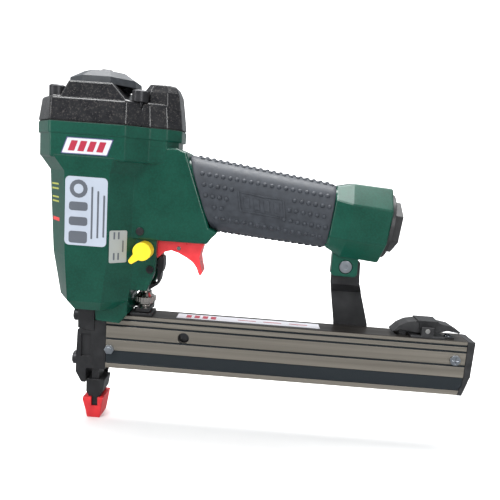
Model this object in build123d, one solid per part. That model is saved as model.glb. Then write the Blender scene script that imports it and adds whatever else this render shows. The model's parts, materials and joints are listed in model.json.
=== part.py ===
"""Pneumatic flooring nailer, built from its separate pieces.

Millimetres. The driver axis is the Z axis and the work surface touches the nose tip at Z = 0.
+X runs back towards the handle and the magazine, and the tool is close to symmetric about Y = 0.
"""
from build123d import *
import math
import os

# ---- driving dimensions -------------------------------------------------------------------
MAG_WIDTH = 18.0           # magazine extrusion
MAG_BOTTOM = 36.3
MAG_TOP = 72.5
MAG_FRONT = 7.2
MAG_REAR = 240.4
MAG_HALF = MAG_WIDTH / 2

BODY_HALF = 27.0           # barrel, half width across the side facets
BARREL_BOTTOM = 77.5
HEAD_BOTTOM = 172.0
HEAD_TOP = 191.5
CAP_TOP = 206.5
HUMP_TOP = 215.0
LOBE_TOP = 218.0

BORE_R = 19.0              # cylinder bore
CYL_R = 22.0
CHAMBER_R = 23.8
CYL_BOTTOM = 88.0
CYL_TOP = 190.0
BUMPER_TOP = 111.5
BLADE_THICK = 1.4
BLADE_WIDTH = 9.8
BLADE_TIP = 71.5           # lower end of the blade at rest

HANDLE_TILT = 6.0          # the handle falls away to the rear
HANDLE_X = 102.0           # a point on the handle axis
HANDLE_Z = 150.5
HANDLE_BORE_R = 13.0
HANDLE_END = 79.0          # distance along the handle axis from that point
GRIP_REAR = 44.5
PLUG_LENGTH = 8.0
PLUG_CORNER_R = 16.0
INLET_R = 5.72

TRIGGER_AXIS = (31.7, 117.5)
TRIGGER_HALF = 8.0
PADDLE_AXIS = (51.7, 118.8)
VALVE_X = 45.5
SAFETY_X = 29.8            # rod with the knurled wheel
SPRING_PLACE = (29.8, 11.4)  # safety spring, on the far side
UPPER_PIN = (28.4, 128.9)
LOWER_PIN = (35.2, 105.0)
PIN_R = 2.4
CORNER_R = 3.0             # upright corners of the head and its cap
EDGE_R = 1.5               # cast edges
RUN_GAP = 0.06             # radial gap of a running fit
SLEEVE_HALF = 7.0          # contact foot's sleeve, half width

LATCH_AXIS = (214.5, 77.2)
BRACKET_THICK = 2.5

NODES = {}


# ---- helpers --------------------------------------------------------------------------------
def prism_z(points, low, high):
    """Upright prism over a closed outline of (x, y) points."""
    face = make_face(Polyline(*[(x, y, low) for x, y in points], close=True))
    return extrude(face, amount=high - low, dir=(0, 0, 1))


def prism_y(points, low, high):
    """Prism across the tool over a closed outline of (x, z) points."""
    face = make_face(Polyline(*[(x, low, z) for x, z in points], close=True))
    return extrude(face, amount=high - low, dir=(0, 1, 0))


def prism_x(points, low, high):
    """Prism along the tool over a closed outline of (y, z) points."""
    face = make_face(Polyline(*[(low, y, z) for y, z in points], close=True))
    return extrude(face, amount=high - low, dir=(1, 0, 0))


def block(x0, x1, y0, y1, z0, z1):
    """Box between two corners."""
    size = Box(x1 - x0, y1 - y0, z1 - z0)
    return Pos((x0 + x1) / 2, (y0 + y1) / 2, (z0 + z1) / 2) * size


def rod_z(x, y, radius, low, high):
    """Round bar along Z."""
    return Pos(x, y, (low + high) / 2) * Cylinder(radius, high - low)


def rod_y(x, z, radius, low, high):
    """Round bar along Y."""
    return Pos(x, (low + high) / 2, z) * Rot(90, 0, 0) * Cylinder(radius, high - low)


def rod_x(y, z, radius, low, high):
    """Round bar along X."""
    return Pos((low + high) / 2, y, z) * Rot(0, 90, 0) * Cylinder(radius, high - low)


def turned(profile, x=0.0, y=0.0):
    """Solid of revolution about a vertical axis from (radius, z) points."""
    face = make_face(Polyline(*[(r, 0, z) for r, z in profile], close=True))
    return Pos(x, y, 0) * revolve(face, Axis.Z, 360)


def stacked(sections):
    """Ruled loft through (z, outline) sections, each an outline of (x, y) points."""
    faces = [make_face(Polyline(*[(x, y, z) for x, y in pts], close=True)) for z, pts in sections]
    return loft(faces, ruled=True)


def mirrored(half):
    """Outline points completed by their mirror image across Y = 0, front to back and round."""
    return half + [(x, -y) for x, y in reversed(half)]


def ring_z(x, y, outer, inner, low, high):
    """Tube along Z."""
    return rod_z(x, y, outer, low, high) - rod_z(x, y, inner, low - 1, high + 1)


def coil_spring(x, y, low, high, radius, wire, turns):
    """Open coil spring standing on Z."""
    path = Helix(pitch=(high - low) / turns, height=high - low, radius=radius)
    start = path.position_at(0)
    profile = Plane(origin=start, z_dir=path.tangent_at(0)) * Circle(wire)
    return Pos(x, y, low) * sweep(profile, path=path)


def socket_screw(head_r, head_h, shank_r, length, socket_r):
    """Socket head screw along +Z, its head's underside at z = 0 and its shank below."""
    head = Pos(0, 0, head_h / 2) * Cylinder(head_r, head_h)
    head = chamfer(head.edges().sort_by(Axis.Z)[-1], head_h * 0.12)
    shank = Pos(0, 0, -length / 2) * Cylinder(shank_r, length)
    hexagon = extrude(RegularPolygon(socket_r, 6), amount=head_h * 0.6)
    return head + shank - Pos(0, 0, head_h * 0.45) * hexagon


def rounded(shape, radius, above=None):
    """The shape with its edges rounded, only those above a height where one is given."""
    edges = [e for e in shape.edges() if above is None or e.center().Z > above]
    return fillet(edges, radius)


def corners_rounded(shape, radius):
    """The shape with its upright edges rounded."""
    return fillet(shape.edges().filter_by(Axis.Z), radius)


def node(name, shape, *more):
    """Keep a finished piece, or several alike, under its node name."""
    NODES[name] = Compound(children=[shape, *more]) if more else shape


# ---- the handle's own frame --------------------------------------------------------------------
TILT = math.radians(HANDLE_TILT)


def handle_plane(along):
    """Plane square to the handle axis: local x runs across the tool, local y upwards."""
    x = HANDLE_X + along * math.cos(TILT)
    z = HANDLE_Z - along * math.sin(TILT)
    return Plane(origin=(x, 0, z), x_dir=(0, 1, 0), z_dir=(math.cos(TILT), 0, -math.sin(TILT)))


def handle_bar(section, start, end):
    """Straight bar of one flat section between two stations of the handle axis."""
    return extrude(handle_plane(start) * section, amount=end - start)


def handle_loft(sections):
    """Ruled loft of (station, half width, half height, corner, rise) rounded rectangles."""
    faces = []
    for along, half_w, half_h, corner, rise in sections:
        shape = Pos(0, rise) * RectangleRounded(2 * half_w, 2 * half_h, corner)
        faces.append(handle_plane(along) * shape)
    return loft(faces, ruled=True)


def octagon(half_w, half_h, corner):
    """Octagon outline face from its half sizes and corner cut."""
    points = [
        (half_w, -half_h + corner), (half_w, half_h - corner), (half_w - corner, half_h), (corner - half_w, half_h),
        (-half_w, half_h - corner), (-half_w, corner - half_h), (corner - half_w, -half_h), (half_w - corner, -half_h),
    ]
    return make_face(Polyline(*points, close=True))


# ---- main casting -------------------------------------------------------------------------------
def barrel_outline(front, front_half, side_front, side_rear, half, rear, rear_half):
    """Eight-sided outline of the barrel at one height."""
    return mirrored([(front, -front_half), (side_front, -half), (side_rear, -half), (rear, -rear_half)])


HEAD_OUTLINE = mirrored([(-38.2, -11), (-24.5, -28.2), (20, -28.2), (32.5, -19), (43, -17), (50.3, -9)])


def outer_barrel():
    """Barrel, head and the chamfers between them."""
    low = stacked([
        (BARREL_BOTTOM, barrel_outline(-15, 7, -10, 6, 20, 14, 12)),
        (84.0, barrel_outline(-23.6, 8, -13, 8, 25, 22, 14.5)),
        (112.0, barrel_outline(-28.4, 9, -14.5, 11.4, BODY_HALF - 0.6, 25.5, 14.5)),
        (163.0, barrel_outline(-30.8, 9.5, -15.4, 11.5, BODY_HALF, 26, 14.5)),
        (HEAD_BOTTOM, barrel_outline(-37.2, 11, -22, 14, BODY_HALF + 0.8, 30, 17)),
    ])
    head = prism_z(mirrored([(-37.2, -10.8), (-24, -27.6), (20, -27.6), (32.2, -18.4), (42.5, -16.4), (48.5, -8.6)]),
                   HEAD_BOTTOM - 1.5, HEAD_TOP - 5)
    flange = corners_rounded(prism_z(HEAD_OUTLINE, HEAD_TOP - 7, HEAD_TOP), CORNER_R)
    flange = fillet(flange.edges().group_by(Axis.Z)[0], 0.8)
    return low + rounded(head, EDGE_R) + flange


def handle_root():
    """Side profile that joins the barrel, the trigger housing and the handle."""
    profile = [(8, 170), (12, 181), (48.5, 181), (54.6, 178.6), (70.8, 134.0), (76.6, 131.6), (72, 127), (70, 123.8),
               (24, 123.8), (14, 112), (8, 130)]
    root = prism_y(profile, -16.5, 16.5)
    return rounded(root, EDGE_R)


def lower_cheeks():
    """The two arms that carry the selector shaft and the lower cross pin."""
    profile = [(14, 130), (39, 130), (38.6, 121), (38.6, 110), (38, 102.5), (33.7, 91), (22.6, 90.6), (14, 100)]
    cheeks = rounded(prism_y(profile, -14.5, -9), 0.8) + rounded(prism_y(profile, 9, 14.5), 0.8)
    return cheeks + block(12, 24, -14.5, 14.5, 96, 126)


def front_foot():
    """Casting foot that sits over the front of the magazine."""
    profile = [(-1, 86), (21.4, 88.5), (21.6, 74.5), (16.5, 68), (1.2, 69), (0.8, 76)]
    return rounded(prism_y(profile, -14, 14), EDGE_R)


def handle_shell():
    """Handle tube, the flared eight-sided end and the lug for the bracket."""
    tube = handle_loft([(-48, 15.4, 19.6, 9, 0.4), (GRIP_REAR + 1, 15.4, 17.9, 9, 0.1)])
    flare = loft([
        handle_plane(GRIP_REAR - 0.5) * octagon(16.8, 19.2, 8),
        handle_plane(GRIP_REAR + 10) * (Pos(0, -0.4) * octagon(20.5, 23.2, 12.5)),
        handle_plane(HANDLE_END) * (Pos(0, 0.2) * octagon(20.6, 23.6, 13)),
    ], ruled=True)
    lug = prism_y([(149.4, 130), (149.4, 110), (151, 108.4), (164.6, 108.4), (166.2, 110), (166.2, 130)], -6.5, 1.0)
    return tube + rounded(flare, EDGE_R) + rounded(lug, 0.8)


def housing():
    """Hollow main casting."""
    body = outer_barrel() + handle_root() + lower_cheeks() + front_foot() + handle_shell()
    chamber = rod_z(0, 0, CHAMBER_R, 104, HEAD_TOP + 1)
    seat = rod_z(0, 0, CYL_R + RUN_GAP, CYL_BOTTOM, 105)
    throat = block(-1.6, 1.6, -6, 6, BARREL_BOTTOM - 1, CYL_BOTTOM + 1)
    air_way = handle_bar(Circle(HANDLE_BORE_R), -58, HANDLE_END - 18)
    inlet = handle_bar(Circle(16.0), HANDLE_END - 19, HANDLE_END + 1)
    trigger_slot = block(21.5, 69.4, -8.6, 8.6, 86, 132)
    valve_bore = rod_z(VALVE_X, 0, 8.0, 128, 152)
    exhaust_way = rod_z(38, 0, 7, 160, HEAD_TOP + 1)
    rod_way = block(21.5, 42.5, -8.6, 8.6, 86, 116)
    body = body - chamber - seat - throat - air_way - inlet - trigger_slot - valve_bore - exhaust_way - rod_way
    for x, y in CAP_SCREWS:
        body = body - rod_z(x, y, 2.1, HEAD_TOP - 13, HEAD_TOP + 1)
    magazine_seat = block(0.6, 30, -MAG_HALF - 0.1, MAG_HALF + 0.1, 60, MAG_TOP + 0.15)
    link_way = block(-4.6, 30, 9.05, 12.5, 60, 87)
    bracket_hole = rod_y(158.4, 114.6, 2.1, -8, 2)
    screw_recess = rod_y(158.4, 114.6, 4.4, -8, -4.6)
    pins = rod_y(*UPPER_PIN, PIN_R, -20, 20) + rod_y(*LOWER_PIN, PIN_R, -20, 20)
    shaft = rod_y(*TRIGGER_AXIS, 3.0 + RUN_GAP, -20, 20)
    spring_pocket = rod_z(*SPRING_PLACE, 2.3, 85, 98)
    return body - magazine_seat - link_way - spring_pocket - bracket_hole - screw_recess - pins - shaft


CAP_SCREWS = [(-23.5, -18.6), (-23.5, 18.6), (26.0, -19.4), (26.0, 19.4)]


# ---- cap, head valve and exhaust ------------------------------------------------------------------
def cap():
    """Cylinder cap with its raised middle and the rear lobe."""
    low = HEAD_TOP + 0.8
    skirt = stacked([
        (low, HEAD_OUTLINE),
        (CAP_TOP, mirrored([(-36, -10.4), (-24, -27.2), (20, -27.2), (31.4, -18.4), (41.5, -16.4), (48.6, -8.6)])),
    ])
    hump = prism_y([(-20, CAP_TOP - 2), (-14, HUMP_TOP), (11, HUMP_TOP), (21, CAP_TOP - 2)], -26.8, 26.8)
    lobe = stacked([
        (CAP_TOP - 3, mirrored([(26, -13), (31, -17.2), (42, -16), (48.8, -9.6)])),
        (LOBE_TOP - 5, mirrored([(26.8, -12.4), (31.4, -16.2), (41.6, -15.2), (47.4, -9.2)])),
        (LOBE_TOP, mirrored([(29.6, -10), (33.2, -13.2), (40.6, -12.6), (45, -8)])),
    ])
    skirt = rounded(skirt, CORNER_R - 0.5, above=low + 0.1)
    solid = skirt + rounded(hump, 1.2) + rounded(lobe, 2.0, above=CAP_TOP - 2.9)
    guide = rod_z(0, 0, CHAMBER_R, low - 1, 207)
    port = rod_z(0, 0, 8.5, 206, HUMP_TOP + 1)
    exhaust_way = rod_z(38, 0, 7, low - 1, LOBE_TOP - 5)
    solid = solid - guide - port - exhaust_way
    for x, y in CAP_SCREWS:
        solid = solid - rod_z(x, y, 2.8, low - 1, CAP_TOP + 12) - rod_z(x, y, 5.2, CAP_TOP - 0.6, CAP_TOP + 14)
    return solid


def cap_gasket():
    """Flat gasket between casting and cap."""
    sheet = prism_z(mirrored([(-37.4, -10.6), (-24, -27.5), (19.7, -27.5), (32, -18.5), (42.6, -16.4), (49.5, -8.7)]),
                    HEAD_TOP, HEAD_TOP + 0.8)
    sheet = sheet - rod_z(0, 0, CHAMBER_R + 0.4, HEAD_TOP - 1, HEAD_TOP + 2) - rod_z(38, 0, 7.2, HEAD_TOP - 1, HEAD_TOP + 2)
    for x, y in CAP_SCREWS:
        sheet = sheet - rod_z(x, y, 2.9, HEAD_TOP - 1, HEAD_TOP + 2)
    return sheet


def cap_screws():
    """Four socket screws that hold the cap down."""
    screw = socket_screw(4.8, 6.8, 2.1, 27, 2.5)
    return [Pos(x, y, CAP_TOP - 0.6) * screw for x, y in CAP_SCREWS]


def deflector():
    """Eight-sided exhaust hood that turns on its centre screw."""
    def eight(across):
        radius = across / math.cos(math.pi / 8)
        return [(radius * math.cos(math.pi / 8 + k * math.pi / 4), radius * math.sin(math.pi / 8 + k * math.pi / 4))
                for k in range(8)]
    shell = stacked([(HUMP_TOP + 0.3, eight(20.4)), (HUMP_TOP + 4.4, eight(20.0)), (224.0, eight(12.5))])
    hollow = stacked([(HUMP_TOP - 1, eight(17.8)), (HUMP_TOP + 3.6, eight(17.6)), (221.6, eight(10.5))])
    post = rod_z(0, 0, 5.0, HUMP_TOP + 0.3, 223)
    collar = rod_z(0, 0, 5.6, 222, 224.6)
    window = block(-30, -10, -7, 7, HUMP_TOP - 1, HUMP_TOP + 3.2)
    bore = rod_z(0, 0, 2.5 + RUN_GAP, 200, 240)
    return (shell - hollow - window) + post + collar - bore


def deflector_screw():
    """Pan screw at the middle of the hood, with its bridge in the cap."""
    head = turned([(0, 224.7), (4.3, 224.7), (4.3, 225.4), (3.2, 226.3), (0, 226.6)])
    shank = rod_z(0, 0, 2.5, 206.5, 224.7)
    bridge = block(-2.2, 2.2, -8.2, 8.2, 207.5, 211.5)
    return head + shank + bridge


def head_valve():
    """Ring that opens the top of the cylinder to air."""
    return turned([(9, 191.4), (23.5, 191.4), (23.5, 195), (21.5, 195), (21.5, 197), (23.5, 197), (23.5, 199),
                   (13, 199), (13, 195), (9, 195)])


def head_valve_seals():
    """Rubber face and the ring in the valve's groove."""
    face = ring_z(0, 0, 21.5, 9.5, 190.2, 191.4)
    return [face, ring_z(0, 0, 23.7, 21.5, 195, 197)]


def head_valve_spring():
    """Spring that closes the head valve."""
    return coil_spring(0, 0, 196.0, 206.0, 10.9, 0.8, 3)


# ---- cylinder and drive ---------------------------------------------------------------------------
def cylinder():
    """Steel sleeve with two seal grooves and a ring of return ports."""
    wall = [(BORE_R, CYL_BOTTOM), (CYL_R, CYL_BOTTOM), (CYL_R, 93), (CYL_R - 1.6, 93), (CYL_R - 1.6, 96), (CYL_R, 96),
            (CYL_R, 104), (CYL_R - 1.2, 105), (CYL_R - 1.2, 178), (CYL_R, 179), (CYL_R, CYL_TOP), (BORE_R, CYL_TOP)]
    sleeve = turned(wall)
    for k in range(8):
        port = Rot(0, 0, 22.5 + 45 * k) * rod_x(0, 112, 1.5, 15, 30)
        sleeve = sleeve - port
    return sleeve


def cylinder_seals():
    """Ring in the lower groove and the guide ring round the top of the sleeve."""
    low = ring_z(0, 0, CYL_R + RUN_GAP, CYL_R - 1.6, 93, 96)
    guide = ring_z(0, 0, CHAMBER_R, CYL_R, 181, 186)
    return [low, guide]


def piston():
    """Piston with its ring groove and a slotted boss for the blade."""
    r = BORE_R - RUN_GAP
    body = turned([(0, 176), (r, 176), (r, 179), (r - 1.8, 179), (r - 1.8, 182), (r, 182), (r, 186), (12, 186),
                   (12, 183), (0, 183)])
    boss = rod_z(0, 0, 8, 169, 177)
    slot = block(-BLADE_THICK / 2, BLADE_THICK / 2, -BLADE_WIDTH / 2, BLADE_WIDTH / 2, 168, 179)
    cross = rod_x(0, 172.5, 1.5, -9, 9)
    return body + boss - slot - cross


def piston_ring():
    """Sealing ring in the piston's groove."""
    return ring_z(0, 0, BORE_R - 0.02, BORE_R - RUN_GAP - 1.8, 179, 182)


def driver_blade():
    """Flat blade that drives the fastener."""
    blade = block(-BLADE_THICK / 2, BLADE_THICK / 2, -BLADE_WIDTH / 2, BLADE_WIDTH / 2, BLADE_TIP, 179)
    return blade - rod_x(0, 172.5, 1.5, -9, 9)


def blade_pin():
    """Cross pin that holds the blade in the piston."""
    return rod_x(0, 172.5, 1.5, -7.6, 7.6)


def bumper():
    """Rubber ring that stops the piston."""
    return turned([(9.5, CYL_BOTTOM), (BORE_R - 0.02, CYL_BOTTOM), (BORE_R - 0.02, 92), (BORE_R - 1.5, 95),
                   (BORE_R - 1.5, BUMPER_TOP), (9.5, BUMPER_TOP)])


# ---- trigger and valve ------------------------------------------------------------------------------
def trigger():
    """Finger lever, open at the top for the paddle."""
    outline = [(27.6, 121.4), (27.6, 113.6), (37.2, 110.6), (39.6, 112.9), (43, 116.0), (47, 117.2), (51.5, 115.9),
               (57, 113.2), (61, 110.6), (63.6, 107.2), (65.3, 102.8), (66.6, 102.3), (67.4, 104.2), (66.0, 109),
               (65.2, 114), (66.4, 119.4), (67.6, 122.9), (36, 122.9), (34.5, 121.4)]
    lever = prism_y(outline, -TRIGGER_HALF, TRIGGER_HALF)
    inside = [(20, 140), (20, 100), (43.4, 100), (44.6, 117.4), (47, 118.3), (50, 117.1), (53, 116.3), (57, 114.6),
              (61.6, 112.6), (63.4, 119), (64, 140)]
    lever = lever - prism_y(inside, -5.6, 5.6)
    shaft = rod_y(*TRIGGER_AXIS, 3.0 + RUN_GAP, -20, 20)
    return lever - shaft - rod_y(*PADDLE_AXIS, 1.2, -20, 20)


def trigger_pin():
    """Small pin of the paddle."""
    return rod_y(*PADDLE_AXIS, 1.2, -TRIGGER_HALF - 0.2, TRIGGER_HALF + 0.2)


def trigger_paddle():
    """Tongue that lifts the valve stem when the nose is pressed down."""
    outline = [(39.5, 121.4), (39.5, 120.0), (47.4, 120.0), (49.5, 118.9), (50.4, 117.6), (52.9, 117.6), (53.9, 118.8),
               (53.0, 120.6), (51.5, 121.4)]
    tongue = prism_y(outline, -5.2, 5.2)
    return tongue - rod_y(*PADDLE_AXIS, 1.2 + RUN_GAP, -20, 20)


def mode_selector():
    """Finger lever and shaft that choose how the trigger fires."""
    x, z = TRIGGER_AXIS
    hub = rod_y(x, z, 5.6, -24.0, -14.9)
    reach = 8.8
    tip = (x - reach * math.cos(math.radians(45)), z - reach * math.sin(math.radians(45)))
    arm = prism_y([(x - 3.2, z + 1.2), (x + 1.2, z - 3.2), (tip[0] + 1.2, tip[1] - 1.2), (tip[0] - 1.2, tip[1] + 1.2)],
                  -24.0, -20.6)
    nose = rod_y(tip[0], tip[1], 1.7, -24.0, -20.6)
    shaft = rod_y(x, z, 3.0, -15, 16)
    return hub + arm + nose + shaft


def valve_body():
    """Bushing of the trigger valve, pressed into the casting."""
    return turned([(2.0 + RUN_GAP, 130.2), (8.0, 130.2), (8.0, 136), (6.6, 136), (6.6, 138.4), (8.0, 138.4), (8.0, 141),
                   (4.2, 141), (4.2, 134), (2.0 + RUN_GAP, 134)], VALVE_X)


def valve_stem():
    """Stem that the paddle pushes up."""
    return turned([(0, 122.7), (1.4, 122.7), (2.0, 123.4), (2.0, 135), (3.4, 135), (3.4, 137), (1.5, 137), (1.5, 142),
                   (0, 142)], VALVE_X)


def valve_seal():
    """O-ring in the bushing's groove."""
    return ring_z(VALVE_X, 0, 8.0, 6.6, 136, 138.4)


def valve_spring():
    """Spring that returns the stem."""
    return coil_spring(VALVE_X, 0, 137.6, 146.6, 2.6, 0.4, 5)


def housing_pins():
    """Two cross pins through the casting."""
    upper = rod_y(*UPPER_PIN, PIN_R, -17.2, 17.2)
    lower = rod_y(*LOWER_PIN, PIN_R, -15.2, 15.2)
    return [upper, lower]


# ---- handle ---------------------------------------------------------------------------------------
def grip_sleeve():
    """Rubber sleeve over the handle, its front edge cut to the slope of the casting."""
    outer = handle_loft([(-46, 17.6, 22.6, 12, 0.4), (0, 18.0, 21.4, 12, 0), (GRIP_REAR - 0.6, 17.4, 20.0, 11, 0)])
    front_cut = prism_y([(40, 190), (51, 190), (54.9, 178.8), (71.1, 134.3), (77.2, 131.3), (80, 122), (40, 122)], -30, 30)
    return outer - front_cut - handle_loft([(-48, 15.4, 19.6, 9, 0.4), (GRIP_REAR + 1, 15.4, 17.9, 9, 0.1)])


def handle_plug():
    """Hexagonal end plug with the threaded air inlet."""
    neck = handle_bar(Circle(16.0), HANDLE_END - 14, HANDLE_END)
    flange = handle_bar(Circle(20.3), HANDLE_END, HANDLE_END + 2.2)
    hexagon = handle_bar(Rot(0, 0, 90) * RegularPolygon(PLUG_CORNER_R, 6), HANDLE_END + 2.2, HANDLE_END + PLUG_LENGTH)
    groove = handle_bar(Circle(17.0) - Circle(14.6), HANDLE_END - 9, HANDLE_END - 6)
    bore = handle_bar(Circle(INLET_R), HANDLE_END - 15, HANDLE_END + PLUG_LENGTH + 1)
    return neck + flange + hexagon - groove - bore


def inlet_seal():
    """O-ring round the neck of the plug."""
    return handle_bar(Circle(16.0) - Circle(14.6), HANDLE_END - 9, HANDLE_END - 6)


# ---- bracket ----------------------------------------------------------------------------------------
def rear_bracket():
    """Bent strip from the handle's lug down to the far side of the magazine."""
    path = [(1.05, 124), (1.05, 101.8), (9.05, 95.5), (9.05, 52), (9.05 + BRACKET_THICK, 52),
            (9.05 + BRACKET_THICK, 96.6), (1.05 + BRACKET_THICK, 102.9), (1.05 + BRACKET_THICK, 124)]
    strip = prism_x(path, 145, 185)
    outline = [(150.6, 117), (150.9, 103), (152.6, 97), (156.5, 74), (157.5, 52), (179.5, 52), (179.2, 74), (172.4, 97),
               (169.6, 103), (168.9, 117), (166.6, 119.2), (152.6, 119.2)]
    strip = strip & prism_y(outline, -5, 20)
    for x, z in BRACKET_SCREWS:
        strip = strip - rod_y(x, z, 1.9, 5, 15)
    return strip - rod_y(158.4, 114.6, 2.1, -2, 6)


BRACKET_SCREWS = [(163.0, 60.5), (174.0, 60.5)]


def bracket_screw():
    """Screw and nut at the handle's lug."""
    head = rod_y(158.4, 114.6, 3.9, -6.6, -4.6)
    shank = rod_y(158.4, 114.6, 2.1, -4.6, 6)
    recess = prism_y([(158.4 + 1.7 * math.cos(math.pi * k / 3), 114.6 + 1.7 * math.sin(math.pi * k / 3))
                      for k in range(6)], -7, -5.4)
    across = 3.9
    nut = prism_y([(158.4 + across * math.cos(math.pi * k / 3), 114.6 + across * math.sin(math.pi * k / 3))
                   for k in range(6)], 1.05 + BRACKET_THICK, 6.6)
    return [head + shank - recess, nut - rod_y(158.4, 114.6, 2.1, 0, 8)]


def bracket_magazine_screws():
    """Two screws that hold the strip to the magazine."""
    screws = []
    for x, z in BRACKET_SCREWS:
        head = rod_y(x, z, 3.4, 9.05 + BRACKET_THICK, 13.6)
        screws.append(head + rod_y(x, z, 1.9, 7.2, 12))
    return screws


# ---- magazine -----------------------------------------------------------------------------------------
def magazine():
    """Grooved extrusion that holds the fasteners."""
    w = MAG_HALF
    half = [(-w, MAG_TOP)]
    for z in (69.5, 65.4, 56.1):
        half += [(-w, z + 0.75), (-w + 0.9, z), (-w, z - 0.75)]
    half += [(-w, 48.4), (-w + 0.9, 47.8), (-w + 0.9, 39.9), (-w, 39.3), (-w, MAG_BOTTOM)]
    shell = prism_x(half + [(-y, z) for y, z in reversed(half)], MAG_FRONT, MAG_REAR)
    hollow = block(MAG_FRONT - 1, MAG_REAR + 1, -5.9, 5.9, 38.0, 70.7)
    slot = block(MAG_FRONT - 1, MAG_REAR + 1, -2.0, 2.0, MAG_BOTTOM - 1, 39)
    heel = prism_y([(236.2, 30), (238.8, 40.4), (240.5, 42.5), (250, 42.5), (250, 30)], -20, 20)
    hook_slot = block(195.0, 204.0, -3.4, 3.4, 69, 74)
    side_hole = rod_y(57.8, 60.0, 3.7, -12, -5)
    front_hole = rod_y(9.9, 49.2, 1.5, -10, 10)
    shell = shell - hollow - slot - heel - hook_slot - side_hole - front_hole
    shell = shell - rod_y(233.7, 59.8, 1.6, -12, -5) - rod_z(229.5, -2.2, 1.3, 70, 74)
    for x, z in BRACKET_SCREWS:
        shell = shell - rod_y(x, z, 1.9, 5, 12)
    return shell


def front_screw():
    """Short screws through both walls at the front of the magazine, the near one with a nut."""
    stud = rod_y(9.9, 49.2, 1.5, -11.8, -6.1)
    bolt = rod_y(9.9, 49.2, 1.5, 6.1, 10) + rod_y(9.9, 49.2, 2.9, MAG_HALF, 11.4)
    nut = prism_y([(9.9 + 3.2 * math.cos(math.pi * k / 3), 49.2 + 3.2 * math.sin(math.pi * k / 3)) for k in range(6)],
                  -11.2, -MAG_HALF)
    return [bolt, nut + stud]


def cross_screw():
    """Cross-head screw that stops the drawer at the rear of the magazine."""
    head = rod_y(233.7, 59.8, 3.3, -10.2, -MAG_HALF)
    head = head - block(231.6, 235.8, -11, -9.6, 59.4, 60.2) - block(233.3, 234.1, -11, -9.6, 57.7, 61.9)
    return head + rod_y(233.7, 59.8, 1.6, -9.2, -6.0)


def rail():
    """Sliding inner rail that carries the fasteners."""
    bar = prism_x([(-3.9, 41.0), (-3.9, 66.0), (-2.6, 67.5), (2.6, 67.5), (3.9, 66.0), (3.9, 41.0), (2.4, 39.6),
                    (1.7, 39.4), (1.7, 37.6), (-1.7, 37.6), (-1.7, 39.4), (-2.4, 39.6)], MAG_FRONT + 0.4, 240.7)
    return bar - drawer_end_cap()


def drawer_end_cap():
    """Moulded end of the sliding rail."""
    side = [(240.7, MAG_TOP), (245.4, MAG_TOP - 0.2), (245.0, 56), (244.8, 48), (243.8, 44), (241.2, 35.8), (237.8, 35.8),
            (239.3, 40.2), (240.7, 42.2)]
    across = [(-9.1, 75), (-9.1, 49), (-8.2, 47.5), (-8.2, 34), (8.2, 34), (8.2, 47.5), (9.1, 49), (9.1, 75)]
    return prism_y(side, -10, 10) & prism_x(across, 230, 250)


def pusher():
    """Sliding piece that presses the fasteners forward."""
    shell = block(9.5, 31, -5.6, 5.6, 41.5, 70.4)
    inside = block(9, 32, -4.2, 4.2, 40, 67.9)
    return shell - inside - block(17, 32, -3.2, 3.2, 67, 71)


def pusher_spring():
    """Coiled flat spring that draws the pusher forward."""
    return rod_y(24, 69.2, 1.2, -3.1, 3.1)


# ---- latch --------------------------------------------------------------------------------------------
def latch():
    """Moulded rocker that frees the drawer when its rear wing is pressed."""
    x, z = LATCH_AXIS
    outline = [(192.6, 74.4), (197, 79.0), (202, 81.8), (208.3, 83.0), (221, 83.0), (224, 81.8), (230, 80.9),
               (236.4, 77.4), (235.6, 76.5), (228, 77.6), (221, 75.6), (208, 75.0), (203.2, 75.6), (198, 76.4)]
    lever = prism_y(outline, -5.4, 5.4)
    hook = prism_y([(197.6, 78.5), (197.6, 69.3), (199.4, 68.2), (202.2, 68.2), (202.2, 78.5)], -2.6, 2.6)
    clip_bed = block(208.0, 221.4, -7, 7, 82.2, 84)
    pivot = rod_y(x, z, 1.5 + RUN_GAP, -10, 10)
    return lever + hook - clip_bed - pivot


def latch_clip():
    """Bent steel saddle over the middle of the rocker."""
    saddle = block(208.1, 221.3, -6.4, 6.4, 82.2, 83.6)
    saddle = saddle + block(209.5, 219.9, -6.4, -5.45, 78.4, 82.4) + block(209.5, 219.9, 5.45, 6.4, 78.4, 82.4)
    return saddle - rod_y(*LATCH_AXIS, 2.2, -10, 10)


def latch_base():
    """Block with two ears, on top of the magazine."""
    base = block(204, 226, -8.4, 8.4, MAG_TOP, 74.0)
    ears = block(210.6, 218.4, -8.4, -6.7, 73.9, 79.6) + block(210.6, 218.4, 6.7, 8.4, 73.9, 79.6)
    toes = block(225.8, 233.0, -4.6, -0.2, MAG_TOP, 73.4)
    return base + ears + toes - rod_y(*LATCH_AXIS, 1.5, -10, 10) - rod_z(229.5, -2.2, 1.3, 70, 76)


def latch_pin():
    """Pivot pin of the rocker."""
    return rod_y(*LATCH_AXIS, 1.5, -8.4, 8.4)


def latch_screw():
    """Small screw through the latch base."""
    return turned([(0, 71.2), (1.3, 71.2), (1.3, 73.4), (2.4, 73.4), (2.4, 74.2), (1.6, 74.8), (0, 74.9)], 229.5, -2.2)


# ---- nose ----------------------------------------------------------------------------------------------
def nose_block():
    """Upper block that clamps the front plate to the casting."""
    block_shape = prism_y([(-11.6, 62), (-11.6, 76.6), (-6.4, 76.6), (-6.4, 75), (-1.0, 75), (-1.0, 60.6), (-4.8, 60.6)],
                          -8.6, 8.6)
    return block_shape - rod_x(0, 68.6, 2.3, -14, 0)


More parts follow.
